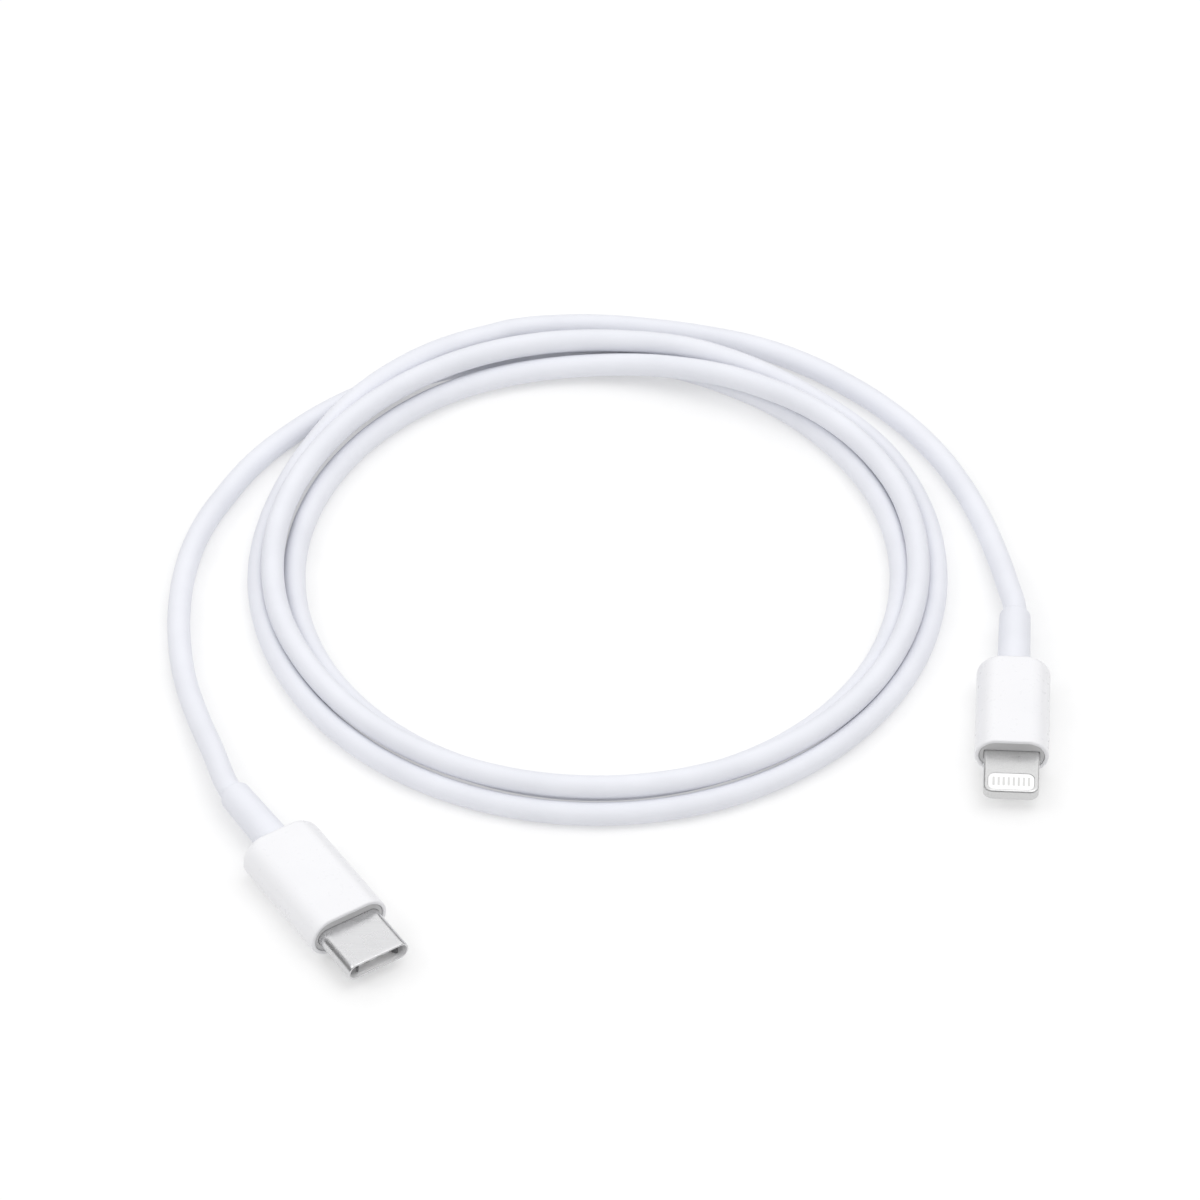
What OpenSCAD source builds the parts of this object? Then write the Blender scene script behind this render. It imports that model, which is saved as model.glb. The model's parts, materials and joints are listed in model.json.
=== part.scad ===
// Charging cable: one metre of round cord lying in a loose coil of three turns, with
// a type-C plug on one end and a flat tab plug with eight contacts a side on the other.
// Millimetres, +Z up. The origin is under the middle of the whole cable, on the surface
// that the cable lies on. Each plug is drawn in a frame of its own: x runs forward
// along the plug from the back of its housing, y across it and z up from its middle.

/* [Cord] */
// Outside diameter of the cord's jacket
cord_d = 2.8; // [2.6:0.1:2.8]
// Radius of the coil's inner turn, to the cord's centre line
coil_inner_r = 37.1; // [36.5:0.1:37.5]
// Radius of the coil's outer turn
coil_outer_r = 41.4; // [41:0.1:42]
// How far the middle turn is raised, lying in the groove between the other two
coil_rise = 1.9; // [1.8:0.1:2.2]

/* [Type-C plug] */
// Width of the housing
c_boot_w = 10.3; // [10:0.1:11]
// Thickness of the housing
c_boot_t = 5.5; // [5.4:0.1:6]
// Length of the housing
c_boot_l = 16.2; // [16:0.1:17]
// Width of the metal shell
c_shell_w = 8.25; // [8.2:0.05:8.3]
// Thickness of the metal shell
c_shell_t = 2.4; // [2.4:0.05:2.5]
// Length of shell that stands out of the housing
c_shell_out = 6.5; // [6.3:0.05:6.65]
// Length of the strain relief behind the housing
c_relief_l = 10; // [9:0.5:11]

/* [Tab plug] */
// Width of the housing
t_boot_w = 8.9; // [8.8:0.1:9.4]
// Thickness of the housing
t_boot_t = 5.2; // [4.8:0.1:5.4]
// Length of the housing
t_boot_l = 14.7; // [14.5:0.1:15]
// Width of the metal tab
t_tab_w = 6.65; // [6.6:0.05:6.7]
// Thickness of the metal tab
t_tab_t = 1.5; // [1.5:0.05:1.6]
// Length of tab that stands out of the housing
t_tab_out = 6.6; // [6.5:0.1:6.9]
// Length of the strain relief behind the housing
t_relief_l = 9.5; // [9:0.5:11]

/* [Plug housings] */
// Wall of both housings
boot_wall = 0.5; // [0.5:0.05:0.6]
// Thickness of the wall at a housing's back
boot_back = 0.8; // [0.7:0.1:0.9]
// Radius of a housing's two back corners
boot_corner = 1.1; // [0.8:0.1:1.6]
// How deep the grey front plate sits inside the housing's rim
plate_recess = 0.15; // [0.1:0.05:0.3]

/* [Hidden] */
$fn = 48;

cord_r = cord_d / 2;
fit = 0.02;

// Where the coil lies, and where each plug's housing begins and points
coil_at = [-1, 11.4];
c_at = [-38.8, -36.1];
c_heading = -57;
t_at = [49.2, -6.7];
t_heading = -93;

// The coil's three turns in cross-section: outer, raised middle and inner turn, and the
// angle at which the line over two neighbouring turns leans
turn_mid_r = (coil_inner_r + coil_outer_r) / 2;
turns = [[coil_outer_r, cord_r], [turn_mid_r, cord_r + coil_rise], [coil_inner_r, cord_r]];
lean = 90 - atan(coil_rise / (coil_outer_r - turn_mid_r));
turn_arcs = [[-90, lean], [lean, 180 - lean], [180 - lean, 270]];

// The cord inside a strain relief stops this far short of the point where it flexes
flex_gap = 0.5;
c_flex_x = -c_relief_l / 2;
t_flex_x = -t_relief_l / 2;

// Routes of the two loose leads, from under the coil to the plugs
c_lead = concat([
    [-16.5, 49.1, 1.4], [-22.2, 47.4, 1.4], [-28.3, 44.5, 1.4], [-34, 40.8, 1.4],
    [-39, 36.3, 1.4], [-43.5, 31, 1.4], [-47, 25, 1.4], [-49.7, 19, 1.4],
    [-51.3, 12.5, 1.4], [-51.9, 6, 1.4], [-51.7, -0.5, 1.4], [-50.8, -7, 1.4],
    [-49.1, -13.5, 1.7], [-47, -20, 2.3],
], [for (x = [-c_relief_l - 1, -c_relief_l, c_flex_x - flex_gap]) on_plug(c_at, c_heading, c_boot_t, x)]);
t_lead = concat([
    [-11.5, 53.3, 3.4], [-6, 54.9, 2.6], [-0.5, 55.6, 2], [6, 55.4, 1.5],
    [12.5, 54.2, 1.4], [19, 52.2, 1.4], [25, 49.1, 1.4], [30.5, 45, 1.4],
    [35.5, 40.2, 1.4], [40, 34.4, 1.4], [43.5, 28, 1.4], [46.2, 21, 1.4],
    [48, 14, 1.7], [49.1, 8, 2.3],
], [for (x = [-t_relief_l - 1, -t_relief_l, t_flex_x - flex_gap]) on_plug(t_at, t_heading, t_boot_t, x)]);

// Type-C plug: places along x, and the contacts
c_plate_x = c_boot_l - plate_recess;
c_shell_x = 12.9;
c_front_x = c_boot_l + c_shell_out;
c_shell_wall = 0.25;
c_block_x = [13, 16.6];
c_guides_front = 20.7;
c_board_x = [5, 12.9];
c_board_w = 8;
c_board_t = 0.8;
c_can_x = [4, 14.9];
contact_count = 12;
contact_pitch = 0.5;
contact_w = 0.22;
contact_z = [0.42, 0.54];
latch_y = [3.2, 3.4];
latch_h = 0.8;
middle_plate_t = 0.16;
c_relief_d = [4.2, 3.8];

// Tab plug: places along x, and the contacts
t_plate_x = t_boot_l - plate_recess;
t_front_x = t_boot_l + t_tab_out;
t_frame_x = 10.5;
t_board_x = [4.6, 10.3];
t_board_w = 6;
t_board_t = 0.6;
t_can_x = [3.9, 13.4];
t_insert_w = 5.55;
t_insert_l = 2.75;
t_insert_x = t_front_x - 0.3 - t_insert_l;
t_tail = [4.6, 0.7];
pad_count = 8;
pad_pitch = 0.6;
pad = [1.4, 0.24, 0.12];
pad_proud = 0.02;
t_relief_d = [4, 3.8];

// The parts round the cord's end, alike in both plugs
plate_t = 0.9;
can_wall = 0.2;
collar_t = 0.65;
relief_round = 0.5;
crimp_x = [1.8, 3.8];
crimp_d = 3.5;
braid_d = 3;
jacket_end_x = 3.4;
wire_d = 0.7;
wire_in = 0.5;
wire_out = 1.5;
wire_start = 3.45;
wire_length = 2.8;

// A point on a plug's middle line, x along it, in the cable's own frame
function on_plug(at, heading, thick, x) =
    [at.x + x * cos(heading), at.y + x * sin(heading), thick / 2];
function unit(v) = v / norm(v);
// Points of an arc round a centre, from one angle to another
function arc(centre, r, from, to, steps = 6) =
    [for (i = [0 : steps]) let (a = from + (to - from) * i / steps) centre + r * [cos(a), sin(a)]];
// Direction of a path at point i, and a ring of n points square to it
function heading_at(path, i) =
    unit(path[min(i + 1, len(path) - 1)] - path[max(i - 1, 0)]);
function ring(path, i, r, n) =
    let (d = heading_at(path, i), side = unit(cross([0, 0, 1], d)), up = cross(d, side))
    [for (k = [0 : n - 1]) let (a = 360 * (k + 0.5) / n)
        path[i] + r / cos(180 / n) * (cos(a) * side + sin(a) * up)];

// A closed tube swept along a path: flat sides of half-width r, and flat ends
module tube(path, r, n = 8) {
    rings = len(path);
    points = [for (i = [0 : rings - 1]) each ring(path, i, r, n)];
    sides = [for (i = [0 : rings - 2]) for (k = [0 : n - 1])
        let (m = (k + 1) % n) [i * n + k, (i + 1) * n + k, (i + 1) * n + m, i * n + m]];
    first = [for (k = [0 : n - 1]) k];
    last = [for (k = [n - 1 : -1 : 0]) (rings - 1) * n + k];
    polyhedron(points, concat([first, last], sides), convexity = 6);
}

module in_type_c() {
    translate([c_at.x, c_at.y, c_boot_t / 2]) rotate([0, 0, c_heading]) children();
}
module in_tab() {
    translate([t_at.x, t_at.y, t_boot_t / 2]) rotate([0, 0, t_heading]) children();
}
// A flat shape, drawn across and up, pushed from x = a to x = b
module along_x(a, b) {
    translate([a, 0, 0]) rotate([90, 0, 90]) linear_extrude(b - a) children();
}
module stadium(w, t) {
    square([w - t, t], center = true);
    for (s = [-1, 1]) translate([s * (w - t) / 2, 0]) circle(d = t);
}
// A box from x = a to x = b, centred across, from z = low to z = high
module slab(a, b, w, low, high) {
    translate([a, -w / 2, low]) cube([b - a, w, high - low]);
}
// A flat plate whose two corners at x = a are rounded
module rounded_plate(a, b, w, t, corner) {
    linear_extrude(t, center = true) {
        translate([a + corner, -w / 2]) square([b - a - corner, w]);
        translate([a, -w / 2 + corner]) square([corner + 0.1, w - 2 * corner]);
        for (s = [-1, 1]) translate([a + corner, s * (w / 2 - corner)]) circle(r = corner);
    }
}

// Housing: a round-sided tube with rounded back corners, open at the front
module housing(w, t, l, hole_d) {
    difference() {
        intersection() {
            along_x(0, l) stadium(w, t);
            rounded_plate(0, l + 1, w, t + 1, boot_corner);
        }
        along_x(boot_back, l + 1) stadium(w - 2 * boot_wall, t - 2 * boot_wall);
        along_x(-1, l) circle(d = hole_d + 2 * fit);
    }
}
// Front plate: closes the housing behind its rim, round the metal that comes through
module front_plate(w, t, x) {
    difference() {
        along_x(x - plate_t, x) stadium(w - 2 * boot_wall - 2 * fit, t - 2 * boot_wall - 2 * fit);
        along_x(x - plate_t - 1, x + 1) children();
    }
}
// Strain relief: a soft tapered sleeve, with a collar caught inside the housing's back
module strain_relief(l, d, w, t) {
    end_r = d[1] / 2;
    inside = boot_back + collar_t;
    shoulder = [for (a = [0 : 15 : 90])
        [end_r - relief_round * (1 - sin(a)), -l + relief_round * (1 - cos(a))]];
    difference() {
        union() {
            rotate([0, 90, 0]) rotate_extrude()
                polygon(concat([[0, -l]], shoulder, [[d[0] / 2, 0], [d[0] / 2, boot_back], [0, boot_back]]));
            along_x(0.1, inside) circle(r = end_r - 0.1);
            along_x(boot_back, inside)
                stadium(w - 2 * boot_wall - 1.5, t - 2 * boot_wall - 2 * fit);
        }
        along_x(-l - 1, inside + 1) circle(r = cord_r + 0.15);
    }
}
// The cord's last stretch, from just past the flexing point to where it is stripped
module cord_end(flex_x) {
    along_x(flex_x + flex_gap, jacket_end_x) circle(r = cord_r);
}
module braid() {
    along_x(crimp_x[0], crimp_x[1]) difference() {
        circle(d = braid_d);
        circle(r = cord_r + fit);
    }
}
module crimp_ring() {
    along_x(crimp_x[0], crimp_x[1]) difference() {
        circle(d = crimp_d);
        circle(d = braid_d + 2 * fit);
    }
}
// One of the four wires: it fans out of the cord, then lies flat on the board
module wire(side, face, board_x, board_t, d) {
    z = board_t / 2 + wire_d / 2 + 0.05;
    tube([for (x = [wire_start, wire_start + 0.2]) [x, side * wire_in, face * wire_in],
        for (x = [board_x + 0.1, board_x + wire_length - 1]) [x, side * wire_out, face * z]], d / 2);
}
module wires(board_x, board_t, d = wire_d) {
    for (side = [-1, 1]) for (face = [-1, 1]) wire(side, face, board_x, board_t, d);
}
// Block of glue moulded round the wires, just behind the board
module wire_block(w, t, board_x, board_t) {
    difference() {
        along_x(crimp_x[1] + 0.15, board_x - 0.1) stadium(w - 0.1, t - 0.1);
        wires(board_x, board_t, wire_d + 0.1);
    }
}
module can(w, t, x) {
    along_x(x[0], x[1]) difference() {
        stadium(w, t);
        stadium(w - 2 * can_wall, t - 2 * can_wall);
    }
}
function can_w(boot_w) = boot_w - 2 * boot_wall - 0.2;
function can_t(boot_t) = boot_t - 2 * boot_wall - 0.2;
// Small parts soldered to the board: [x, y, length, width, height] on the given face
module soldered(parts, face, board_t) {
    for (p = parts)
        translate([p[0], p[1] - p[3] / 2, face > 0 ? board_t / 2 + fit : -board_t / 2 - fit - p[4]])
            cube([p[2], p[3], p[4]]);
}

module cord_coil() {
    color("ghostwhite") translate([coil_at.x, coil_at.y, 0]) rotate_extrude($fn = 96)
        polygon([for (i = [0 : 2]) each arc(turns[i], cord_r, turn_arcs[i][0], turn_arcs[i][1])]);
}
module cord_lead_type_c() { color("ghostwhite") tube(c_lead, cord_r * cos(22.5)); }
module cord_lead_tab() { color("ghostwhite") tube(t_lead, cord_r * cos(22.5)); }

module type_c_housing() {
    color("white") in_type_c() housing(c_boot_w, c_boot_t, c_boot_l, c_relief_d[0]);
}
module type_c_front_plate() {
    color("darkgray") in_type_c() front_plate(c_boot_w, c_boot_t, c_plate_x)
        stadium(c_shell_w + 2 * fit, c_shell_t + 2 * fit);
}
module type_c_strain_relief() {
    color("ghostwhite") in_type_c() strain_relief(c_relief_l, c_relief_d, c_boot_w, c_boot_t);
}
module type_c_cord_end() { color("ghostwhite") in_type_c() cord_end(c_flex_x); }
module type_c_braid() { color("silver") in_type_c() braid(); }
module type_c_crimp_ring() { color("goldenrod") in_type_c() crimp_ring(); }
module type_c_wires() { color("firebrick") in_type_c() wires(c_board_x[0], c_board_t); }
module type_c_wire_block() {
    color("whitesmoke") in_type_c() wire_block(can_w(c_boot_w) - 2 * can_wall,
        can_t(c_boot_t) - 2 * can_wall, c_board_x[0], c_board_t);
}
module type_c_inner_can() {
    color("lightgray") in_type_c() can(can_w(c_boot_w), can_t(c_boot_t), c_can_x);
}
module type_c_board() {
    color("darkgreen") in_type_c()
        slab(c_board_x[0], c_board_x[1], c_board_w, -c_board_t / 2, c_board_t / 2);
}
module type_c_chip() {
    color("dimgray") in_type_c() soldered([[7.6, 0, 2.6, 2.6, 0.7]], 1, c_board_t);
}
module type_c_board_parts() {
    color("tan") in_type_c() {
        soldered([for (y = [-3, 3]) for (x = [7.7, 9.2]) [x, y, 1, 0.5, 0.5]], 1, c_board_t);
        soldered([for (y = [-2.4, 0, 2.4]) [8.2, y, 1.6, 0.8, 0.6]], -1, c_board_t);
    }
}

// Metal shell: a seamless flattened tube, open at both ends
module type_c_shell() {
    color("silver") in_type_c() along_x(c_shell_x, c_front_x) difference() {
        stadium(c_shell_w, c_shell_t);
        stadium(c_shell_w - 2 * c_shell_wall, c_shell_t - 2 * c_shell_wall);
    }
}
// Across places of a row of contacts
function row(count, pitch) = [for (i = [0 : count - 1]) (i - (count - 1) / 2) * pitch];

// Block that closes the back of the shell and holds the contacts' tails
module type_c_contact_block() {
    color("gainsboro") in_type_c() difference() {
        along_x(c_block_x[0], c_block_x[1])
            stadium(c_shell_w - 2 * c_shell_wall - 2 * fit, c_shell_t - 2 * c_shell_wall - 2 * fit);
        slab(c_block_x[0] - 1, c_block_x[1] + 1, 2 * latch_y[1] + 2 * fit,
            -middle_plate_t / 2 - fit, middle_plate_t / 2 + fit);
        for (s = [-1, 1]) translate([c_block_x[0] + 1.4, s * (latch_y[0] + latch_y[1]) / 2, 0])
            slab(0, 3, latch_y[1] - latch_y[0] + 2 * fit, -latch_h / 2 - fit, latch_h / 2 + fit);
        for (y = row(contact_count, contact_pitch)) for (face = [0, 1]) mirror([0, 0, face])
            translate([0, y, 0]) slab(c_block_x[0] - 1, c_block_x[1] + 1, contact_w + 2 * fit,
                contact_z[0] - fit, contact_z[1] + fit);
    }
}
// Slotted guides above and below the contacts, in front of the block
module type_c_contact_guides() {
    color("gainsboro") in_type_c() for (face = [0, 1]) mirror([0, 0, face]) difference() {
        slab(c_block_x[1] + fit, c_guides_front, 6.1, 0.5, 0.92);
        for (y = row(contact_count, contact_pitch))
            translate([0, y, 0]) slab(c_block_x[1] + 0.3, c_guides_front + 1, 0.32, 0, 2);
        slab(c_block_x[1] - 1, c_block_x[1] + 0.4, 7, 0, 0.62);
    }
}
module type_c_contact_tails() {
    color("gold") in_type_c() for (y = row(contact_count, contact_pitch)) for (face = [0, 1])
        mirror([0, 0, face]) translate([0, y, 0])
            slab(c_board_x[1] - 1.3, c_block_x[1] - 0.05, contact_w, contact_z[0], contact_z[1]);
}
// One row of springy contact beams, each with a bump that presses on the socket's tongue
module contact_row() {
    x = c_block_x[1] + 0.1;
    for (y = row(contact_count, contact_pitch))
        translate([0, y + contact_w / 2, 0]) rotate([90, 0, 0]) linear_extrude(contact_w)
            polygon([[x, 0.42], [x + 2.6, 0.4], [x + 3.2, 0.3], [x + 3.8, 0.46],
                [x + 3.8, 0.58], [x + 3.2, 0.43], [x + 2.6, 0.52], [x, 0.54]]);
}
module type_c_contacts_upper() { color("gold") in_type_c() contact_row(); }
module type_c_contacts_lower() { color("gold") in_type_c() mirror([0, 0, 1]) contact_row(); }
// Plate between the two rows of tails, with the roots of the side latches
module type_c_middle_plate() {
    color("gray") in_type_c() {
        slab(c_block_x[0] + 0.2, c_block_x[1] - 0.1, 2 * latch_y[1],
            -middle_plate_t / 2, middle_plate_t / 2);
        for (s = [-1, 1]) translate([c_block_x[0] + 1.5, s * (latch_y[0] + latch_y[1]) / 2, 0])
            slab(0, c_block_x[1] - c_block_x[0] - 1.6, latch_y[1] - latch_y[0], -latch_h / 2, latch_h / 2);
    }
}
// A springy side arm whose bent end catches the socket's tongue
module latch() {
    x = c_block_x[1] + 0.1;
    linear_extrude(latch_h, center = true)
        polygon([[x, latch_y[0]], [x + 3.6, latch_y[0]], [x + 4.1, 2.83], [x + 4.6, 2.35],
            [x + 5.2, 2.25], [x + 5.75, 2.7], [x + 5.6, 2.9], [x + 5.1, 2.5],
            [x + 4.75, 2.55], [x + 3.8, latch_y[1]], [x, latch_y[1]]]);
}
module type_c_latch_left() { color("gray") in_type_c() latch(); }
module type_c_latch_right() { color("gray") in_type_c() mirror([0, 1, 0]) latch(); }
// Thin plates inside the mouth that ground the socket, each with three pressed tabs
module type_c_ground_springs() {
    color("silver") in_type_c() for (face = [0, 1]) mirror([0, 0, face]) {
        slab(c_guides_front + 0.1, c_front_x - 0.4, 5.4, 0.87, 0.93);
        for (y = [-1.8, 0, 1.8]) translate([0, y, 0])
            slab(c_guides_front + 0.2, c_guides_front + 0.6, 0.9, 0.7, 0.88);
    }
}

module tab_housing() {
    color("white") in_tab() housing(t_boot_w, t_boot_t, t_boot_l, t_relief_d[0]);
}
module tab_front_plate() {
    color("darkgray") in_tab() front_plate(t_boot_w, t_boot_t, t_plate_x)
        square([t_tab_w + 2 * fit, t_tab_t + 2 * fit], center = true);
}
module tab_strain_relief() {
    color("ghostwhite") in_tab() strain_relief(t_relief_l, t_relief_d, t_boot_w, t_boot_t);
}
module tab_cord_end() { color("ghostwhite") in_tab() cord_end(t_flex_x); }
module tab_braid() { color("silver") in_tab() braid(); }
module tab_crimp_ring() { color("goldenrod") in_tab() crimp_ring(); }
module tab_wires() { color("firebrick") in_tab() wires(t_board_x[0], t_board_t); }
module tab_wire_block() {
    color("whitesmoke") in_tab() wire_block(can_w(t_boot_w) - 2 * can_wall,
        can_t(t_boot_t) - 2 * can_wall, t_board_x[0], t_board_t);
}
module tab_inner_can() {
    color("lightgray") in_tab() can(can_w(t_boot_w), can_t(t_boot_t), t_can_x);
}
module tab_board() {
    color("darkgreen") in_tab()
        slab(t_board_x[0], t_board_x[1], t_board_w, -t_board_t / 2, t_board_t / 2);
}
module tab_chip() {
    color("dimgray") in_tab() soldered([[7.5, 0, 2.2, 2.4, 0.6]], 1, t_board_t);
}
module tab_board_parts() {
    color("tan") in_tab() {
        soldered([for (y = [-2.3, 2.3]) [7.8, y, 1, 0.5, 0.45]], 1, t_board_t);
        soldered([for (y = [-1.8, 0, 1.8]) [7.8, y, 1, 0.6, 0.45]], -1, t_board_t);
    }
}
// Steel frame of the tab: rounded at the tip, with a window for the insert, a slot
// behind the window for the insert's tail, and a shallow latch pocket in each side
module tab_frame() {
    color("silver") in_tab() difference() {
        translate([t_frame_x + t_front_x, 0, 0]) mirror([1, 0, 0])
            rounded_plate(t_frame_x, t_front_x, t_tab_w, t_tab_t, 1.1);
        slab(t_insert_x, t_insert_x + t_insert_l, t_insert_w, -t_tab_t, t_tab_t);
        slab(t_frame_x - 1, t_insert_x + 1, t_tail[0], -t_tail[1] / 2, t_tail[1] / 2);
        for (s = [-1, 1]) translate([t_insert_x - 1.2, s * (t_tab_w / 2 + 0.35), 0]) sphere(r = 0.6);
    }
}
// Plastic insert: fills the window, holds both rows of contacts and reaches the board
module tab_insert() {
    color("white") in_tab() difference() {
        union() {
            slab(t_insert_x + fit, t_insert_x + t_insert_l - fit, t_insert_w - 2 * fit,
                -t_tab_t / 2, t_tab_t / 2);
            slab(t_frame_x, t_insert_x + 0.1, t_tail[0] - 2 * fit,
                -t_tail[1] / 2 + fit, t_tail[1] / 2 - fit);
        }
        for (face = [0, 1]) mirror([0, 0, face]) pads(fit);
    }
}
// A row of eight flat contacts let into the insert's upper face
module pads(grow = 0) {
    middle = t_insert_x + t_insert_l / 2;
    for (y = row(pad_count, pad_pitch)) translate([0, y, 0])
        slab(middle - pad.x / 2 - grow, middle + pad.x / 2 + grow, pad.y + 2 * grow,
            t_tab_t / 2 - pad.z - grow, t_tab_t / 2 + pad_proud);
}
module tab_contacts_upper() { color("gold") in_tab() pads(); }
module tab_contacts_lower() { color("gold") in_tab() mirror([0, 0, 1]) pads(); }

cord_coil();
cord_lead_type_c();
cord_lead_tab();
type_c_housing();
type_c_front_plate();
type_c_strain_relief();
type_c_cord_end();
type_c_braid();
type_c_crimp_ring();
type_c_wires();
type_c_wire_block();
type_c_inner_can();
type_c_board();
type_c_chip();
type_c_board_parts();
type_c_shell();
type_c_contact_block();
type_c_contact_guides();
type_c_contact_tails();
type_c_contacts_upper();
type_c_contacts_lower();
type_c_middle_plate();
type_c_latch_left();
type_c_latch_right();
type_c_ground_springs();
tab_housing();
tab_front_plate();
tab_strain_relief();
tab_cord_end();
tab_braid();
tab_crimp_ring();
tab_wires();
tab_wire_block();
tab_inner_can();
tab_board();
tab_chip();
tab_board_parts();
tab_frame();
tab_insert();
tab_contacts_upper();
tab_contacts_lower();
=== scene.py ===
"""Charging cable: the looks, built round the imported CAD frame. Metres, +Z up, in the CAD's own frame.

A metre of round white cord lies in a loose coil of three turns. It ends in a type-C plug and
in a flat tab plug with eight contacts a side.
"""
import json
import math

import bmesh
import bpy
from mathutils import Matrix, Vector


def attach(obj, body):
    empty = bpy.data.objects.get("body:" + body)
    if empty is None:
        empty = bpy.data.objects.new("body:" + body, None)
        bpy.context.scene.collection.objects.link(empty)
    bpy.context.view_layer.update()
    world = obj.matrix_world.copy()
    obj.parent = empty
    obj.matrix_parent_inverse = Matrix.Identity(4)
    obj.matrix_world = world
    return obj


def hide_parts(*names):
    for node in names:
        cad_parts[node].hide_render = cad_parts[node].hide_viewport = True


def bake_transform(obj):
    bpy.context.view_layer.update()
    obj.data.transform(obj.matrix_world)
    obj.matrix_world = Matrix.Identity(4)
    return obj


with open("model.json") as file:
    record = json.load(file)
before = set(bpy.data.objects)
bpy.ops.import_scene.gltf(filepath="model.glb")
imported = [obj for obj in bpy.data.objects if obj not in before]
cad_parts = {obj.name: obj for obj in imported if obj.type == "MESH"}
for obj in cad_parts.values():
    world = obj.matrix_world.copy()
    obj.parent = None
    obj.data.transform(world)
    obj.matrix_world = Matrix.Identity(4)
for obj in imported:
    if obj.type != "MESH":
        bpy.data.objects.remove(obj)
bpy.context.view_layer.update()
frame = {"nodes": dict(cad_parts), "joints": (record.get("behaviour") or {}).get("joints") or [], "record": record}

MM = 0.001

# The camera stands in front of the cable and looks down at it through a long lens
AIM = Vector((-0.0007, 0.0065, 0.0015))
ELEVATION = math.radians(44.24)
DISTANCE = 0.9957
LENS_MM = 245.1
SENSOR_MM = 36

# The cord: the coil's centre, and the routes of the two loose leads as part.scad has them
CORD_D = 0.0028
COIL_AT = (-0.001, 0.0114)
C_LEAD = [
    (-0.0165, 0.0491, 0.0014), (-0.0222, 0.0474, 0.0014), (-0.0283, 0.0445, 0.0014),
    (-0.034, 0.0408, 0.0014), (-0.039, 0.0363, 0.0014), (-0.0435, 0.031, 0.0014),
    (-0.047, 0.025, 0.0014), (-0.0497, 0.019, 0.0014), (-0.0513, 0.0125, 0.0014),
    (-0.0519, 0.006, 0.0014), (-0.0517, -0.0005, 0.0014), (-0.0508, -0.007, 0.0014),
    (-0.0491, -0.0135, 0.0017), (-0.047, -0.02, 0.0023),
]
T_LEAD = [
    (-0.0115, 0.0533, 0.0034), (-0.006, 0.0549, 0.0026), (-0.0005, 0.0556, 0.002),
    (0.006, 0.0554, 0.0015), (0.0125, 0.0542, 0.0014), (0.019, 0.0522, 0.0014),
    (0.025, 0.0491, 0.0014), (0.0305, 0.045, 0.0014), (0.0355, 0.0402, 0.0014),
    (0.04, 0.0344, 0.0014), (0.0435, 0.028, 0.0014), (0.0462, 0.021, 0.0014),
    (0.048, 0.014, 0.0017), (0.0491, 0.008, 0.0023),
]
# How the turns of the coil widen and how high they lie: the angle in degrees clockwise from
# +Y, the radius, and the rise over a cord that lies on the floor. Each turn hops over the
# lead that passes under the coil at its far left.
TURNS = [
    (-8, 0.0399, 0), (0, 0.0393, 0), (15, 0.0383, 0), (30, 0.0376, 0), (60, 0.0371, 0),
    (270, 0.0371, 0), (330, 0.0372, 0.0002), (345, 0.0369, 0.0004), (360, 0.0364, 0.001),
    (375, 0.0362, 0.002), (390, 0.0366, 0.0027), (405, 0.0376, 0.00285),
    (420, 0.0387, 0.0024), (435, 0.0392, 0.00205), (450, 0.0392, 0.0019),
    (480, 0.0392, 0.0019), (540, 0.0389, 0.0022), (600, 0.0393, 0.002),
    (620, 0.0397, 0.0022), (645, 0.0396, 0.00235), (660, 0.0392, 0.0029),
    (690, 0.0389, 0.0031), (720, 0.0389, 0.0029), (735, 0.0394, 0.00265),
    (750, 0.0403, 0.0014), (765, 0.0411, 0.0002), (780, 0.0416, 0), (810, 0.0414, 0),
    (900, 0.0412, 0), (990, 0.0414, 0), (1005, 0.0413, 0.0001), (1020, 0.0414, 0.0008),
    (1035, 0.0417, 0.0023), (1050, 0.042, 0.0029), (1062, 0.0425, 0.0025),
]
TURN_STEP = 6

# The studio's dome, as the sine of the elevation and how bright it is there: what lights the
# cable, and what its gloss and metal mirror, where dark screens stand along the horizon and
# reach higher in front and on the left than behind and on the right
SOFT_DOME = ((0.0, 0.1), (0.3, 0.5), (0.65, 0.85))
DOME_LEVEL = 1.25
MIRRORED_DOME = ((0.52, 0.0), (0.6, 1.0), (0.7, 1.0), (0.78, 0.86), (0.86, 0.86), (0.95, 1.0))
SCREEN_TILT = (math.radians(10), math.radians(-14), 0)

# Both plugs: lengths along the plug are counted from the back of its housing, in millimetres
C_SIZE = {
    "boot": (10.3, 5.5, 16.2), "relief": 10.0, "relief_d": (4.2, 3.8), "cord_from": 5.5,
}
T_SIZE = {
    "boot": (8.9, 5.2, 14.7), "relief": 9.5, "relief_d": (4.0, 3.8), "cord_from": 5.25,
}
RECESS = 0.15           # how far the front plate lies behind the housing's lip
WALL = 0.5
BACK = 0.8              # the thickness of the housing's back
PLAN_CORNER = 1.1       # how round the back is in plan, and in side view
BACK_ROUND = 0.45
LIP_ROUND = 0.22        # the rounding of the lip, outside and inside
MOUTH_ROUND = 0.08
FLOOR_STEP = 0.4        # how much thinner the hollow is at its back
OPENING_GAP = 0.02      # round the metal where it goes through the front plate
STRAIGHT = 1            # how far the cord runs straight on behind a strain relief
CORNER_STEPS = 10       # points on each corner of an outline


# ---------------------------------------------------------------- places and small tools

def joint(name):
    return next(j for j in frame["joints"] if j["name"] == name)


def mount(name):
    return next(m for m in frame["record"]["mounts"] if m["name"] == name)


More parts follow.
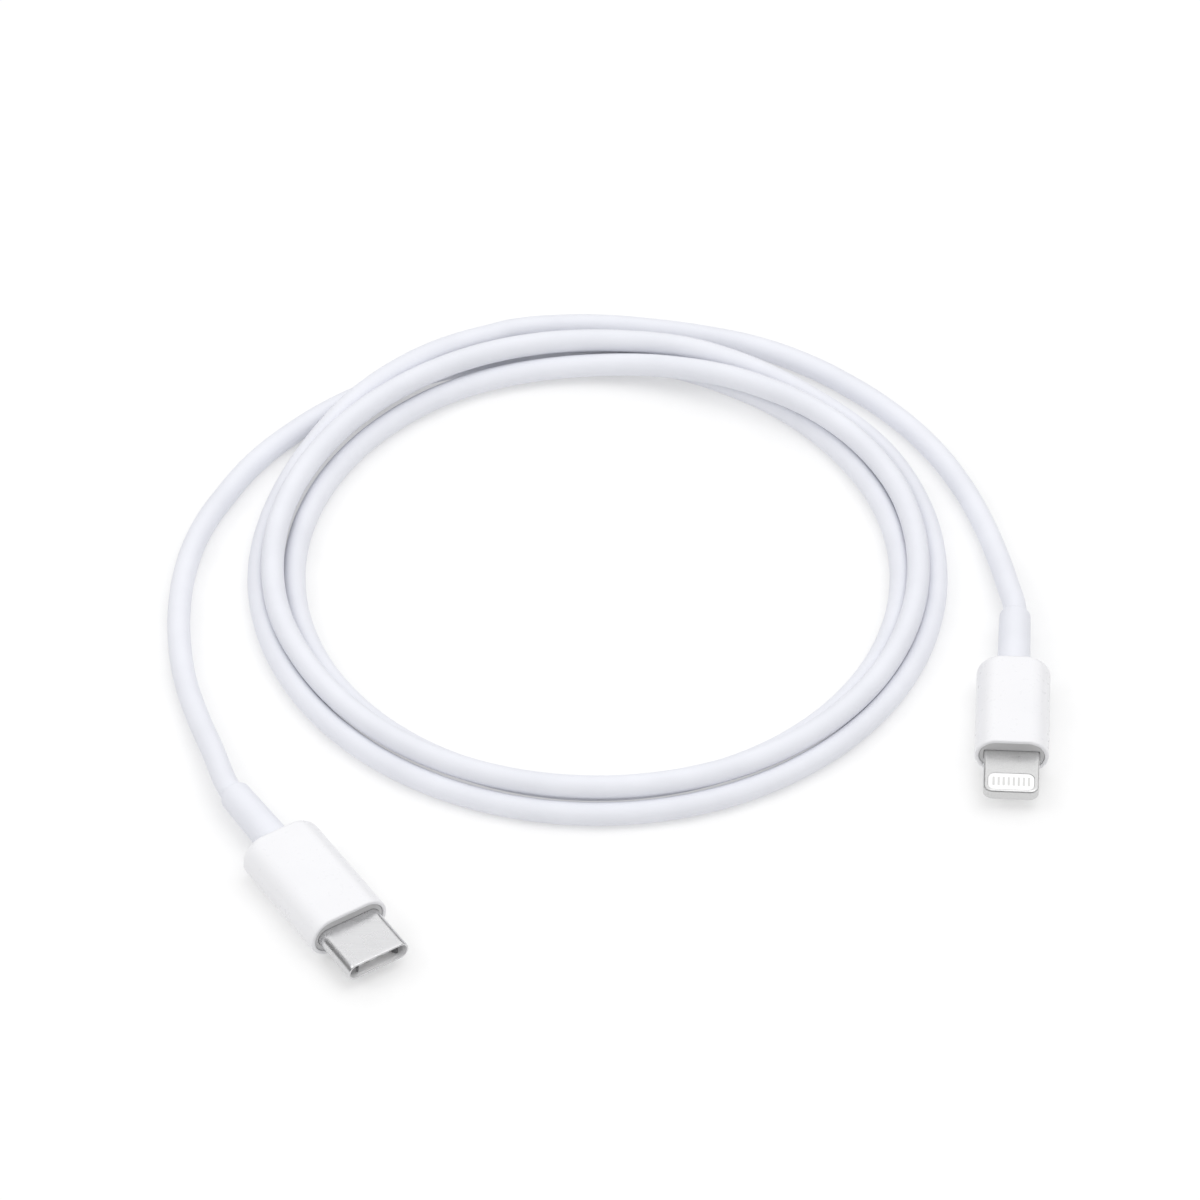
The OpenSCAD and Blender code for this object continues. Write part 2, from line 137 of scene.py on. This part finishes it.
def plug_frame(flex_joint, end_mount, flex_x):
    """Turns a plug's own frame (x forward from the housing's back, z up) into the cable's."""
    ahead = Vector(mount(end_mount)["axis"])
    origin = Vector(joint(flex_joint)["pos_m"]) - ahead * flex_x
    return Matrix.Translation(origin) @ Matrix.Rotation(math.atan2(ahead.y, ahead.x), 4, "Z")


# Each plug flexes at the middle of its strain relief
C_FRAME = plug_frame("type_c_plug_flex", "type_c_plug_end", -C_SIZE["relief"] / 2 * MM)
T_FRAME = plug_frame("tab_plug_flex", "tab_plug_end", -T_SIZE["relief"] / 2 * MM)


def on_plug(place, x):
    """A point on a plug's middle line, x millimetres along it."""
    return place @ Vector((x * MM, 0, 0))


def arc(steps):
    """Angles over a quarter turn, in radians."""
    return [math.radians(90 * i / steps) for i in range(steps + 1)]


def rounded(width, height, corner):
    """Points round a rectangle with round corners: one radius, or one for each corner,
    anticlockwise from the corner at +, +. Every outline has the same number of points."""
    corners = corner if isinstance(corner, (tuple, list)) else (corner,) * 4
    half = math.radians(45 / CORNER_STEPS)
    points = []
    for k, (sx, sy) in enumerate(((1, 1), (-1, 1), (-1, -1), (1, -1))):
        r = corners[k]
        for i in range(CORNER_STEPS):
            a = math.radians(90 * (k + (i + 0.5) / CORNER_STEPS))
            points.append((sx * (width / 2 - r) + r / math.cos(half) * math.cos(a),
                           sy * (height / 2 - r) + r / math.cos(half) * math.sin(a)))
    return points


def across(x, width, thick, corner=None):
    """An outline square to the plug at x, in millimetres; a stadium if no corner is given."""
    corner = min(width, thick) / 2 if corner is None else corner
    return [Vector((x, y, z)) for y, z in rounded(width, thick, corner)]


def circle(x, radius):
    return across(x, 2 * radius, 2 * radius)


def flat_outline(a, b, width, corners, z):
    """An outline in plan from x = a to x = b, at height z, in millimetres."""
    return [Vector(((a + b) / 2 + x, y, z)) for x, y in rounded(b - a, width, corners)]


def finish_mesh(name, bm, place, smooth_angle=40):
    """Turns a bmesh in a plug's millimetres into an object in the cable's frame."""
    bmesh.ops.recalc_face_normals(bm, faces=bm.faces)
    bmesh.ops.transform(bm, matrix=place @ Matrix.Scale(MM, 4), verts=bm.verts)
    mesh = bpy.data.meshes.new(name)
    bm.to_mesh(mesh)
    bm.free()
    mesh.shade_smooth()
    mesh.set_sharp_from_angle(angle=math.radians(smooth_angle))
    piece = bpy.data.objects.new(name, mesh)
    bpy.context.scene.collection.objects.link(piece)
    return piece


def loft_into(bm, rings, closed):
    """Skins rings of equal count: the last joins the first if closed, else both ends are capped."""
    loops = [[bm.verts.new(p) for p in ring] for ring in rings]
    count = len(loops[0])
    pairs = list(zip(loops, loops[1:])) + ([(loops[-1], loops[0])] if closed else [])
    for low, high in pairs:
        for k in range(count):
            m = (k + 1) % count
            bm.faces.new((low[k], low[m], high[m], high[k]))
    if not closed:
        bm.faces.new(loops[0])
        bm.faces.new(loops[-1])


def loft(name, place, rings, closed=True, smooth_angle=40):
    bm = bmesh.new()
    loft_into(bm, rings, closed)
    return finish_mesh(name, bm, place, smooth_angle)


def weighted(piece):
    """Lets the broad faces set the shading at a rounded edge."""
    shade = piece.modifiers.new("even_shading", "WEIGHTED_NORMAL")
    shade.keep_sharp = True
    return piece


# ---------------------------------------------------------------- materials

def base_material(name, colour, rough, metal=0.0, **sockets):
    """A node material whose constant values sit on the shader's own sockets."""
    material = bpy.data.materials.new(name)
    material.use_nodes = True
    shader = material.node_tree.nodes["Principled BSDF"]
    shader.inputs["Base Color"].default_value = (*colour, 1)
    shader.inputs["Roughness"].default_value = rough
    shader.inputs["Metallic"].default_value = metal
    for socket, value in sockets.items():
        shader.inputs[socket.replace("_", " ")].default_value = value
    return material, material.node_tree, shader


def node(tree, kind, links=(), **values):
    """Adds a node, sets its inputs or properties by name, and links outputs to its inputs."""
    made = tree.nodes.new("ShaderNode" + kind)
    for key, value in values.items():
        socket = key.replace("_", " ")
        if socket in made.inputs:
            made.inputs[socket].default_value = value
        else:
            setattr(made, key, value)
    for output, name in links:
        tree.links.new(output, made.inputs[name])
    return made


def object_place(tree, turn=0.0, stretch=(1, 1, 1)):
    """Object coordinates, turned about Z and stretched: the texture stays on the piece."""
    coordinate = node(tree, "TexCoord").outputs["Object"]
    return node(tree, "Mapping", [(coordinate, "Vector")], Rotation=(0, 0, turn),
                Scale=stretch).outputs["Vector"]


def noise(tree, vector, scale, detail=2.0, rough=0.5):
    return node(tree, "TexNoise", [(vector, "Vector")], Scale=scale, Detail=detail,
                Roughness=rough).outputs["Fac"]


def between(tree, value, low, high, from_low=0.3, from_high=0.7):
    """Maps a pattern to a range of numbers."""
    return node(tree, "MapRange", [(value, "Value")], **{
        "From_Min": from_low, "From_Max": from_high, "To_Min": low, "To_Max": high,
    }).outputs["Result"]


def ramp(tree, value, *stops):
    """Maps a value to colours: each stop is a place from 0 to 1 and a colour."""
    made = node(tree, "ValToRGB", [(value, "Fac")])
    elements = made.color_ramp.elements
    while len(elements) < len(stops):
        elements.new(1.0)
    for element, (place, colour) in zip(elements, stops):
        element.position = place
        element.color = (*colour, 1)
    return made.outputs["Color"]


def two_tone(tree, value, dark, light, start=0.3, stop=0.7):
    """Maps a pattern to a blend of two colours."""
    return ramp(tree, value, (start, dark), (stop, light))


def bump(tree, shader, value, depth):
    """Raises the surface by a pattern, depth metres at most."""
    made = node(tree, "Bump", [(value, "Height")], Strength=1.0, Distance=depth)
    tree.links.new(made.outputs["Normal"], shader.inputs["Normal"])


def moulded(name, dark, light, rough, grain=5000.0, depth=4e-6, spread=0.05, **sockets):
    """Moulded plastic: faint flow marks in the colour, uneven gloss, and a fine grain unless
    it is polished (a depth of 0)."""
    material, tree, shader = base_material(name, light, rough, **sockets)
    vector = object_place(tree)
    cloud = noise(tree, vector, 140.0, 3.0)
    fine = noise(tree, vector, grain, 3.0, 0.6)
    tree.links.new(two_tone(tree, cloud, dark, light), shader.inputs["Base Color"])
    tree.links.new(between(tree, fine, rough - spread, rough + spread), shader.inputs["Roughness"])
    if depth:
        bump(tree, shader, fine, depth)
    return material


def metal(name, dark, light, rough, turn=0.0, stretch=(1, 1, 1), grain=6000.0, depth=2e-6,
          spread=0.06, polish=1.0, **sockets):
    """Metal with a grain: brushed if it is stretched along one direction, blasted if not.
    The polish is the share of it that mirrors as bare metal does."""
    material, tree, shader = base_material(name, light, rough, polish, **sockets)
    vector = object_place(tree, turn, stretch)
    fine = noise(tree, vector, grain, 3.0, 0.65)
    cloud = noise(tree, object_place(tree), 500.0, 2.0)
    tree.links.new(two_tone(tree, fine, dark, light, 0.25, 0.75), shader.inputs["Base Color"])
    tree.links.new(between(tree, cloud, rough - spread, rough + spread), shader.inputs["Roughness"])
    if depth:
        bump(tree, shader, fine, depth)
    return material


def wave_metal(name, dark, light, rough, turn, scale, depth):
    """Woven or ringed metal: crossing waves lift it, and its colour darkens in their low parts as painted shade
    between the wires.
    """
    material, tree, shader = base_material(name, light, rough, 1.0)
    height = None
    for angle in (math.radians(45), math.radians(-45)):
        vector = object_place(tree, turn + angle)
        wave = node(tree, "TexWave", [(vector, "Vector")], Scale=scale, Distortion=0.4,
                    Detail=1.0).outputs["Fac"]
        height = wave if height is None else node(
            tree, "Math", [(height, 0), (wave, 1)], operation="MAXIMUM").outputs[0]
    # The colour is dark where the waves are low: painted shade in the hollows of the weave and between the rings.
    tree.links.new(two_tone(tree, height, dark, light, 0.2, 0.9), shader.inputs["Base Color"])
    tree.links.new(between(tree, height, rough + 0.15, rough, 0.1, 0.9), shader.inputs["Roughness"])
    bump(tree, shader, height, depth)
    return material


def circuit_board(name, turn):
    """Solder mask over copper: lighter traces in steps, pale pads, a gloss of varnish."""
    material, tree, shader = base_material(name, (0.01, 0.09, 0.05), 0.35)
    vector = object_place(tree, turn)
    traces = node(tree, "TexBrick", [(vector, "Vector")], Scale=900.0, Mortar_Size=0.06,
                  Color1=(0.008, 0.075, 0.04, 1), Color2=(0.012, 0.1, 0.055, 1),
                  Mortar=(0.05, 0.2, 0.1, 1))
    tree.links.new(traces.outputs["Color"], shader.inputs["Base Color"])
    tree.links.new(between(tree, noise(tree, vector, 2500.0), 0.28, 0.42), shader.inputs["Roughness"])
    bump(tree, shader, traces.outputs["Fac"], 6e-6)
    return material


C_TURN = -math.atan2(C_FRAME[1][0], C_FRAME[0][0])
T_TURN = -math.atan2(T_FRAME[1][0], T_FRAME[0][0])
ALONG = (0.06, 1, 1)

JACKET = moulded("jacket_soft_white", (0.76, 0.77, 0.82), (0.80, 0.81, 0.86), 0.6,
                 grain=4200.0, depth=5e-6, Specular_IOR_Level=0.2)
RELIEF = moulded("relief_soft_white", (0.76, 0.77, 0.82), (0.80, 0.81, 0.86), 0.55,
                 grain=4200.0, depth=4e-6, Specular_IOR_Level=0.2)
HOUSING = moulded("housing_gloss_white", (0.82, 0.82, 0.84), (0.84, 0.84, 0.86), 0.3,
                  grain=1500.0, depth=0, spread=0.04, Specular_IOR_Level=0.28)
PLATE = moulded("plate_grey", (0.54, 0.54, 0.545), (0.60, 0.60, 0.605), 0.5,
                grain=7000.0, depth=4e-6)
INSULATOR = moulded("insulator_grey", (0.60, 0.60, 0.60), (0.68, 0.68, 0.68), 0.42)
INSERT = moulded("insert_white", (0.90, 0.90, 0.90), (0.95, 0.95, 0.95), 0.35)
GLUE = moulded("glue_milky", (0.70, 0.68, 0.60), (0.82, 0.80, 0.74), 0.3, grain=900.0, depth=2e-5)
CHIP = moulded("chip_black", (0.012, 0.012, 0.014), (0.022, 0.022, 0.024), 0.6, grain=9000.0)
PARTS = moulded("board_parts_tan", (0.28, 0.18, 0.10), (0.45, 0.33, 0.20), 0.45, grain=3000.0)
WIRE = moulded("wire_red", (0.42, 0.03, 0.02), (0.52, 0.05, 0.035), 0.4, grain=3500.0)
SHELL = metal("shell_satin", (0.64, 0.64, 0.65), (0.70, 0.70, 0.71), 0.28, C_TURN, ALONG,
              grain=5000.0, depth=0, polish=0.75)
LINING = metal("shell_lining_matt", (0.84, 0.84, 0.85), (0.90, 0.90, 0.91), 0.6, C_TURN, ALONG,
               polish=0.1)
TAB = metal("tab_blasted", (0.59, 0.59, 0.59), (0.71, 0.71, 0.71), 0.33, T_TURN,
            grain=7000.0, depth=0, polish=0.75)
PAD = metal("pad_pale", (0.64, 0.64, 0.63), (0.74, 0.74, 0.73), 0.35, T_TURN, grain=9000.0,
            polish=0.7)
GOLD = metal("contact_gold", (0.78, 0.52, 0.18), (0.90, 0.66, 0.28), 0.25, C_TURN, ALONG)
SPRING = metal("spring_steel", (0.10, 0.10, 0.105), (0.16, 0.16, 0.165), 0.35, C_TURN, ALONG)
CAN = metal("can_tinned", (0.60, 0.60, 0.58), (0.72, 0.72, 0.70), 0.4, C_TURN, ALONG, grain=3000.0)
BRAID, BOARD = {}, {}
for plug, mark, turn in (("type_c", "c", C_TURN), ("tab", "t", T_TURN)):
    BRAID[plug] = wave_metal("braid_woven_" + mark, (0.30, 0.29, 0.28), (0.75, 0.74, 0.72), 0.35,
                             turn, 900, 3e-5)
    BOARD[plug] = circuit_board("board_green_" + mark, turn)
CRIMP = wave_metal("crimp_brass", (0.55, 0.38, 0.14), (0.80, 0.60, 0.28), 0.3, C_TURN, 300, 2e-5)


def dress(piece, material):
    piece.data.materials.clear()
    piece.data.materials.append(material)


def settle(piece, material, body, slot, *stands_for):
    """Gives a piece its material and its body, and hides the CAD nodes that it stands for. The slot is not used.
    """
    dress(piece, material)
    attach(piece, body)
    if stands_for:
        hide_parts(*stands_for)
    return piece


# ---------------------------------------------------------------- camera and cord

def make_camera():
    camera = bpy.data.objects.new("camera", bpy.data.cameras.new("camera"))
    bpy.context.scene.collection.objects.link(camera)
    camera.data.sensor_width = SENSOR_MM
    camera.data.lens = LENS_MM
    camera.data.clip_start, camera.data.clip_end = 0.01, 20
    back = Vector((0, -math.cos(ELEVATION), math.sin(ELEVATION)))
    camera.location = AIM + DISTANCE * back
    camera.rotation_euler = (-back).to_track_quat("-Z", "Y").to_euler()
    bpy.context.scene.camera = camera


def eased(keys, angle, column):
    """The value in one column of the keys at an angle, on a curve that never overshoots."""
    i = max(k for k in range(len(keys) - 1) if keys[k][0] <= angle + 1e-9)

    def slope(k):
        if k < 0 or k + 1 >= len(keys):
            return None
        return (keys[k + 1][column] - keys[k][column]) / (keys[k + 1][0] - keys[k][0])

    def tangent(before, after):
        if before is None or after is None:
            return after if before is None else before
        return 2 * before * after / (before + after) if before * after > 0 else 0.0

    width = keys[i + 1][0] - keys[i][0]
    t = (angle - keys[i][0]) / width
    enter, leave = tangent(slope(i - 1), slope(i)), tangent(slope(i), slope(i + 1))
    return ((2 * t**3 - 3 * t**2 + 1) * keys[i][column] + (t**3 - 2 * t**2 + t) * width * enter
            + (3 * t**2 - 2 * t**3) * keys[i + 1][column] + (t**3 - t**2) * width * leave)


def coil_points():
    """The three turns, from where the first lead has passed under them."""
    first, last = TURNS[0][0], TURNS[-1][0]
    count = round((last - first) / TURN_STEP)
    points = []
    for i in range(count + 1):
        angle = first + (last - first) * i / count
        radius, rise = eased(TURNS, angle, 1), eased(TURNS, angle, 2)
        turn = math.radians(angle)
        points.append((COIL_AT[0] + radius * math.sin(turn), COIL_AT[1] + radius * math.cos(turn),
                       CORD_D / 2 + rise))
    return points


def make_cord():
    """One round curve, from inside the type-C plug through the coil into the tab plug."""
    enter, leave = (
        [on_plug(place, -x) for x in (size["cord_from"], size["relief"], size["relief"] + STRAIGHT)]
        for place, size in ((C_FRAME, C_SIZE), (T_FRAME, T_SIZE)))
    route = [*enter, *reversed(C_LEAD), *coil_points(), *T_LEAD, *reversed(leave)]
    curve = bpy.data.curves.new("cord", "CURVE")
    curve.dimensions = "3D"
    curve.resolution_u = 4
    curve.bevel_depth = CORD_D / 2
    curve.bevel_resolution = 10
    curve.use_fill_caps = True
    spline = curve.splines.new("BEZIER")
    spline.bezier_points.add(len(route) - 1)
    for point, place in zip(spline.bezier_points, route):
        point.co = place
        point.handle_left_type = point.handle_right_type = "AUTO"
    spline.use_smooth = True
    cord = bpy.data.objects.new("cord", curve)
    bpy.context.scene.collection.objects.link(cord)
    return cord


make_camera()
cord = make_cord()
settle(cord, JACKET, "cord", "jacket", "cord_coil", "cord_lead_type_c", "cord_lead_tab")


# ---------------------------------------------------------------- parts that both plugs have

def make_housing(name, place, width, thick, length, hole):
    """A thin tube with soft back corners, a hole for the strain relief and a rounded front lip."""
    def section(x, inset=0.0):
        plan = PLAN_CORNER - math.sqrt(max(0, PLAN_CORNER**2 - max(0, PLAN_CORNER - x) ** 2))
        edge = BACK_ROUND - math.sqrt(max(0, BACK_ROUND**2 - max(0, BACK_ROUND - x) ** 2))
        return across(x, width - 2 * plan - 2 * inset, thick - 2 * edge - 2 * inset)

    back = [section(BACK_ROUND * (1 - math.cos(a))) for a in arc(6)]
    side = [section(PLAN_CORNER - (PLAN_CORNER - BACK_ROUND) * math.cos(a)) for a in arc(8)[1:]]
    lip = [section(length - LIP_ROUND * (1 - math.sin(a)), LIP_ROUND * (1 - math.cos(a)))
           for a in arc(5)]
    mouth = [section(length - MOUTH_ROUND * (1 - math.cos(a)), WALL - MOUTH_ROUND * (1 - math.sin(a)))
             for a in arc(3)]
    floor = [section(x, WALL) for x in (length - RECESS, BACK + PLAN_CORNER)]
    floor += [across(BACK, width - 2 * PLAN_CORNER, thick - 2 * WALL - FLOOR_STEP)]
    bore = [across(x, hole, hole) for x in (BACK, 0)]
    return weighted(loft(name, place, back + side + lip + mouth + floor + bore))


def make_plate(name, place, width, thick, x, opening):
    """The plate behind the housing's lip, with a softened edge round the metal."""
    gap, edge, depth = 0.02, 0.06, 0.9
    outer_w, outer_t = width - 2 * (WALL + gap), thick - 2 * (WALL + gap)
    open_w, open_t, corner = opening
    rings = [
        across(x - depth, outer_w, outer_t), across(x - edge, outer_w, outer_t),
        across(x, outer_w - 2 * edge, outer_t - 2 * edge),
        across(x, open_w + 2 * edge, open_t + 2 * edge, corner + edge),
        across(x - edge, open_w, open_t, corner), across(x - depth, open_w, open_t, corner),
    ]
    return weighted(loft(name, place, rings, smooth_angle=30))


def make_relief(name, place, length, diameters, stands_for):
    """The soft sleeve: a round shoulder at the cord, a slight taper, and rings about half a millimetre apart along
    it.
    """
    wide, narrow = (d / 2 for d in diameters)
    bore = CORD_D / MM / 2 + 0.03
    shoulder, tail, edge, chamfer, ring_step = 0.5, 0.6, 0.05, 0.06, 0.5
    rings = [circle(-length + chamfer, bore), circle(-length, bore + edge)]
    for a in arc(7):
        r = narrow - shoulder + shoulder * math.sin(a)
        if r > bore + edge:
            rings.append(circle(-length + shoulder * (1 - math.cos(a)), r))
    count = round((length - shoulder + tail) / ring_step)
    along = [-length + shoulder + (length - shoulder + tail) * i / count for i in range(1, count + 1)]
    rings += [circle(x, narrow + (wide - narrow) * min(1, (x + length) / length)) for x in along]
    rings += [circle(x, bore) for x in reversed(along)]
    sleeve = loft(name, place, rings)
    dress(sleeve, RELIEF)
    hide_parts(stands_for)
    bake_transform(sleeve)


def make_boot(plug, place, size, metal_w, metal_t, metal_corner):
    """A plug's housing, the grey plate in its front with a hole for the metal, and its sleeve."""
    width, thick, length = size["boot"]
    body = plug + "_plug"
    opening = (metal_w + 2 * OPENING_GAP, metal_t + 2 * OPENING_GAP, metal_corner + OPENING_GAP)
    settle(make_housing(plug + "_housing_moulding", place, width, thick, length, size["relief_d"][0]),
           HOUSING, body, "housing", plug + "_housing")
    settle(make_plate(plug + "_plate_panel", place, width, thick, length - RECESS, opening),
           PLATE, body, "front_plate", plug + "_front_plate")
    make_relief(plug + "_relief_sleeve", place, size["relief"], size["relief_d"],
                plug + "_strain_relief")


# ---------------------------------------------------------------- type-C plug

SHELL_W, SHELL_T, SHELL_WALL = 8.25, 2.4, 0.25
SHELL_BACK, SHELL_FRONT = 12.9, 22.7


def make_shell(name, place):
    """Drawn steel tube with a rolled mouth: drawn in a little and round outside, a small
    chamfer inside."""
    roll, chamfer, draw, draw_l, draw_steps = 0.1, 0.03, 0.03, 0.5, 4

    def ring(x, inset):
        return across(x, SHELL_W - 2 * inset, SHELL_T - 2 * inset)

    outer = [ring(SHELL_BACK, 0)]
    for part in (i / draw_steps for i in range(draw_steps + 1)):
        outer.append(ring(SHELL_FRONT - roll - draw_l * (1 - part), draw * part**2))
    outer += [ring(SHELL_FRONT - roll * (1 - math.sin(a)), draw + roll * (1 - math.cos(a)))
              for a in arc(6)[1:]]
    inner = [ring(SHELL_FRONT - chamfer * (1 - math.cos(a)), SHELL_WALL - chamfer * (1 - math.sin(a)))
             for a in arc(3)]
    inner.append(ring(SHELL_BACK, SHELL_WALL))
    return weighted(loft(name, place, outer + inner))


def line_inside(piece, place, material):
    """Gives a second material to the faces that look in towards a plug's middle line."""
    steepest = 0.3
    piece.data.materials.append(material)
    into_plug = place.inverted()
    for face in piece.data.polygons:
        centre, normal = into_plug @ face.center, into_plug.to_3x3() @ face.normal
        inward = centre.y * normal.y + centre.z * normal.z < 0 and abs(normal.x) < steepest
        face.material_index = int(inward)


make_boot("type_c", C_FRAME, C_SIZE, SHELL_W, SHELL_T, SHELL_T / 2)
shell = settle(make_shell("type_c_shell_tube", C_FRAME), SHELL, "type_c_plug", "shell", "type_c_shell")
line_inside(shell, C_FRAME, LINING)


# ---------------------------------------------------------------- tab plug

TAB_W, TAB_T, TAB_EDGE = 6.65, 1.5, 0.12
TAB_BACK, TAB_TIP = 10.5, 21.3
TIP_CORNER = 1.1
INSERT_W, INSERT_L, INSERT_EDGE = 5.55, 2.75, 0.3
INSERT_FRONT = TAB_TIP - INSERT_EDGE
INSERT_BACK = INSERT_FRONT - INSERT_L
INSERT_CORNERS = (0.85, 0.9, 0.9, 0.85)
PAD_COUNT, PAD_PITCH, PAD_L, PAD_W, PAD_PROUD = 8, 0.6, 1.4, 0.24, 0.02


def make_tab(name, place):
    """The flat steel tab: bevelled all round its tip, with a window for the insert."""
    bevel, edge, back_corner, half = 0.3, 0.04, 0.1, TAB_T / 2

    def outer(z, inset):
        corner = TIP_CORNER - inset
        return flat_outline(TAB_BACK, TAB_TIP - inset, TAB_W - 2 * inset,
                            (corner, back_corner, back_corner, corner), z)

    def window(z, grow=0.0):
        corners = [c + grow for c in INSERT_CORNERS]
        return flat_outline(INSERT_BACK - grow, INSERT_FRONT + grow, INSERT_W + 2 * grow, corners, z)

    lower = [outer(-half + bevel * (1 - math.sin(a)), bevel * (1 - math.cos(a)))
             for a in reversed(arc(5))]
    upper = [outer(half - bevel * (1 - math.sin(a)), bevel * (1 - math.cos(a))) for a in arc(5)]
    inner = [window(half, edge), window(half - edge), window(-half + edge), window(-half, edge)]
    return weighted(loft(name, place, lower + upper + inner, smooth_angle=35))


def make_insert(name, place):
    """The plastic in the window, flush with both faces of the tab."""
    gap, edge, half = 0.02, 0.05, TAB_T / 2

    def ring(z, inset):
        corners = [c - inset for c in INSERT_CORNERS]
        return flat_outline(INSERT_BACK + inset, INSERT_FRONT - inset, INSERT_W - 2 * inset,
                            corners, z)

    rings = [ring(-half, gap + edge), ring(-half + edge, gap),
             ring(half - edge, gap), ring(half, gap + edge)]
    return weighted(loft(name, place, rings, closed=False, smooth_angle=30))


def make_pads(name, place, side):
    """A row of eight flat contacts, let into the insert, with rounded ends and edges."""
    bm = bmesh.new()
    middle = (INSERT_BACK + INSERT_FRONT) / 2
    top, sunk, edge, corner = TAB_T / 2 + PAD_PROUD, 0.12, 0.02, 0.07
    for i in range(PAD_COUNT):
        y = (i - (PAD_COUNT - 1) / 2) * PAD_PITCH
        rings = []
        for z, inset in ((top - sunk, 0), (top - edge, 0), (top, edge)):
            ring = flat_outline(middle - PAD_L / 2 + inset, middle + PAD_L / 2 - inset,
                                PAD_W - 2 * inset, corner, side * z)
            rings.append([p + Vector((0, y, 0)) for p in ring])
        loft_into(bm, rings, closed=False)
    return finish_mesh(name, bm, place, 30)


make_boot("tab", T_FRAME, T_SIZE, TAB_W, TAB_T, TAB_EDGE)
settle(make_tab("tab_frame_blade", T_FRAME), TAB, "tab_plug", "tab_steel", "tab_frame")
settle(make_insert("tab_insert_moulding", T_FRAME), INSERT, "tab_plug", "insert", "tab_insert")
for label, side in (("upper", 1), ("lower", -1)):
    settle(make_pads("tab_pads_" + label, T_FRAME, side), PAD, "tab_plug", "pad",
           "tab_contacts_" + label)


# ---------------------------------------------------------------- CAD nodes that stay

def soften(piece, width):
    """Welds the CAD mesh and breaks its sharp edges by a width in millimetres."""
    weld = piece.modifiers.new("weld", "WELD")
    weld.merge_threshold = 1e-7
    bevel = piece.modifiers.new("broken_edges", "BEVEL")
    bevel.width = width * MM
    bevel.segments = 2
    bevel.limit_method = "ANGLE"
    bevel.angle_limit = math.radians(40)
    weighted(piece)


for plug, size in (("type_c", C_SIZE), ("tab", T_SIZE)):
    finishes = {
        "cord_end": JACKET, "braid": BRAID[plug], "crimp_ring": CRIMP, "wires": WIRE,
        "wire_block": GLUE, "inner_can": CAN, "board": BOARD[plug], "chip": CHIP,
        "board_parts": PARTS,
    }
    for part, material in finishes.items():
        dress(frame["nodes"][f"{plug}_{part}"], material)
    for part in ("board", "chip", "board_parts"):
        soften(frame["nodes"][f"{plug}_{part}"], 0.04)

type_c_finishes = {
    "contact_block": INSULATOR, "contact_guides": INSULATOR, "contact_tails": GOLD,
    "contacts_upper": GOLD, "contacts_lower": GOLD, "middle_plate": SPRING,
    "latch_left": SPRING, "latch_right": SPRING, "ground_springs": LINING,
}
for part, material in type_c_finishes.items():
    dress(frame["nodes"]["type_c_" + part], material)
for part in ("latch_left", "latch_right", "ground_springs", "contacts_upper", "contacts_lower"):
    soften(frame["nodes"]["type_c_" + part], 0.02)


# ---------------------------------------------------------------- floor and light

def make_floor():
    """A white table that gives some light of its own, which keeps the shadows pale."""
    half = 3.0
    corners = [(-half, -half, 0), (half, -half, 0), (half, half, 0), (-half, half, 0)]
    mesh = bpy.data.meshes.new("floor")
    mesh.from_pydata(corners, [], [(0, 1, 2, 3)])
    floor = bpy.data.objects.new("floor", mesh)
    bpy.context.scene.collection.objects.link(floor)
    dress(floor, moulded("floor_white", (0.60, 0.60, 0.60), (0.62, 0.62, 0.62), 0.8, grain=400.0,
                         depth=1e-6, Specular_IOR_Level=0.0, Emission_Color=(1, 1, 1, 1),
                         Emission_Strength=0.33))


def soft_light(name, place, size, radiance):
    """A square panel that faces the cable; its radiance is what a mirror would show of it."""
    light = bpy.data.lights.new(name, "AREA")
    light.shape = "SQUARE"
    light.size = size
    light.energy = radiance * math.pi * size**2
    lamp = bpy.data.objects.new(name, light)
    lamp.location = place
    lamp.rotation_euler = (AIM - Vector(place)).to_track_quat("-Z", "Y").to_euler()
    bpy.context.scene.collection.objects.link(lamp)


def make_world():
    """A studio dome: white overhead, a little dimmer low down, with dark screens for the gloss."""
    world = bpy.data.worlds.new("studio")
    bpy.context.scene.world = world
    world.use_nodes = True
    tree = world.node_tree
    way = node(tree, "TexCoord").outputs["Generated"]
    domes = []
    for stops, tilt in ((SOFT_DOME, (0, 0, 0)), (MIRRORED_DOME, SCREEN_TILT)):
        turned = node(tree, "Mapping", [(way, "Vector")], Rotation=tilt).outputs["Vector"]
        height = node(tree, "SeparateXYZ", [(turned, "Vector")]).outputs["Z"]
        domes.append(ramp(tree, height, *((z, (level,) * 3) for z, level in stops)))
    glossy = node(tree, "LightPath").outputs["Is Glossy Ray"]
    dome = node(tree, "MixRGB", [(glossy, "Fac"), (domes[0], "Color1"), (domes[1], "Color2")])
    background = tree.nodes["Background"]
    background.inputs["Strength"].default_value = DOME_LEVEL
    tree.links.new(dome.outputs["Color"], background.inputs["Color"])


make_floor()
soft_light("key", (0.3, 0.05, 1.1), size=0.8, radiance=1.1)
soft_light("strip", (-0.75, -0.1, 0.8), size=0.4, radiance=2.0)
make_world()
bpy.context.scene.view_settings.view_transform = "Standard"
